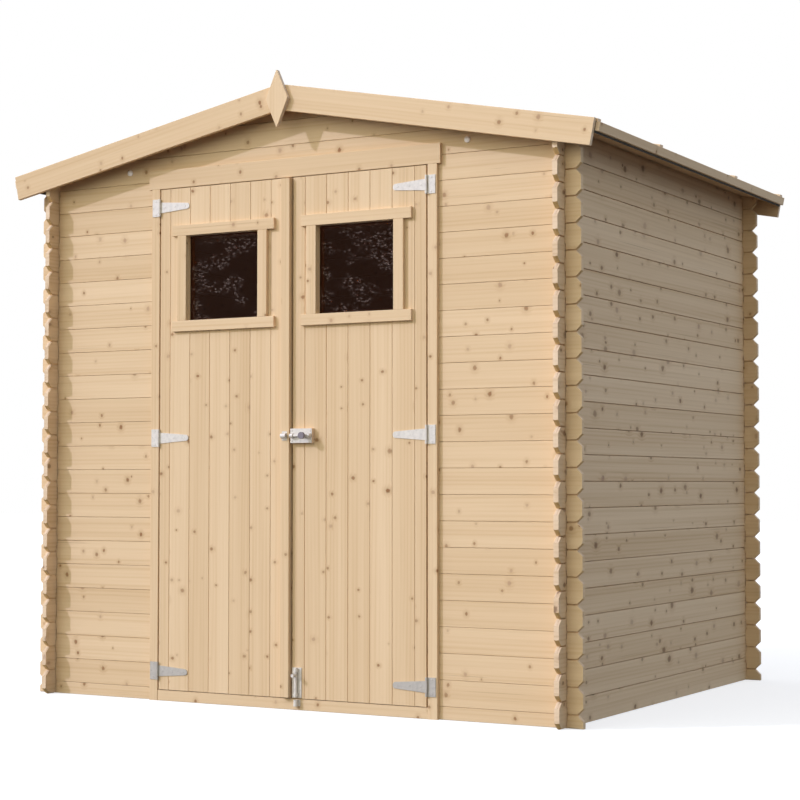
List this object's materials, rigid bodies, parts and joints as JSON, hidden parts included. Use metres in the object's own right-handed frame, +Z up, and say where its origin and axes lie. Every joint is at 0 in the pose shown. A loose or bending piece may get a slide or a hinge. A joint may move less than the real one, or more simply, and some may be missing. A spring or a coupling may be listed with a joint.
{
  "type": "wooden garden shed",
  "caption": "Wooden garden shed with interlocking board walls, crossing corners, a low gable roof, and glazed double doors with strap hinges and sliding bolts.",
  "frame": {"origin": "middle of the shed's plan, on the ground", "axes": "+X to the right seen from the front, +Y from the doors to the back, +Z up"},
  "size_m": [2.423, 1.92, 2.2288],
  "materials": {
    "spruce": "planed, untreated",
    "zinc": "zinc plated",
    "pane": "clear",
    "felt": "mineral felt"
  },
  "bodies": {
    "shed": {"front_wall_left": "spruce", "front_wall_right": "spruce", "front_gable": "spruce", "back_wall": "spruce", "left_wall": "spruce", "right_wall": "spruce", "door_post_left": "spruce", "door_post_right": "spruce", "door_lintel": "spruce", "door_sill": "spruce", "floor_boards": "spruce", "floor_joists": "spruce", "ridge_beam": "spruce", "purlins": "spruce", "roof_boards_left": "spruce", "roof_boards_right": "spruce", "roof_felt": "felt", "roof_battens_left": "spruce", "roof_battens_right": "spruce", "front_barge_left": "spruce", "front_barge_right": "spruce", "back_barge_left": "spruce", "back_barge_right": "spruce", "front_finial": "spruce", "back_finial": "spruce", "eaves_board_left": "spruce", "eaves_board_right": "spruce", "left_hinge_plates": "zinc", "right_hinge_plates": "zinc", "foot_bolt_keeper": "zinc"},
    "left_door": {"left_door_leaf": "spruce", "left_door_ledges": "spruce", "left_window_trim": "spruce", "left_window_pane": "pane", "left_window_beads": "spruce", "left_hinge_straps": "zinc", "meeting_strip": "spruce", "latch_keeper": "zinc"},
    "right_door": {"right_door_leaf": "spruce", "right_door_ledges": "spruce", "right_window_trim": "spruce", "right_window_pane": "pane", "right_window_beads": "spruce", "right_hinge_straps": "zinc", "latch_block": "spruce", "latch_plate": "zinc", "foot_bolt_plate": "zinc"},
    "latch_bolt": {"latch_rod": "zinc"},
    "foot_bolt": {"foot_bolt_rod": "zinc"}
  },
  "joints": [
    {"name": "left_door_hinge", "type": "hinge", "parent": "shed", "child": "left_door", "pos_m": [-0.5565, -0.8879, 0.95], "axis": [0, 0, -1], "range_deg": [0, 165]},
    {"name": "right_door_hinge", "type": "hinge", "parent": "shed", "child": "right_door", "pos_m": [0.5565, -0.8879, 0.95], "axis": [0, 0, 1], "range_deg": [0, 165]},
    {"name": "latch_slide", "type": "slide", "parent": "right_door", "child": "latch_bolt", "axis": [-1, 0, 0], "range_m": [0, 0.025]},
    {"name": "foot_bolt_slide", "type": "slide", "parent": "right_door", "child": "foot_bolt", "axis": [0, 0, -1], "range_m": [0, 0.022]}
  ]
}
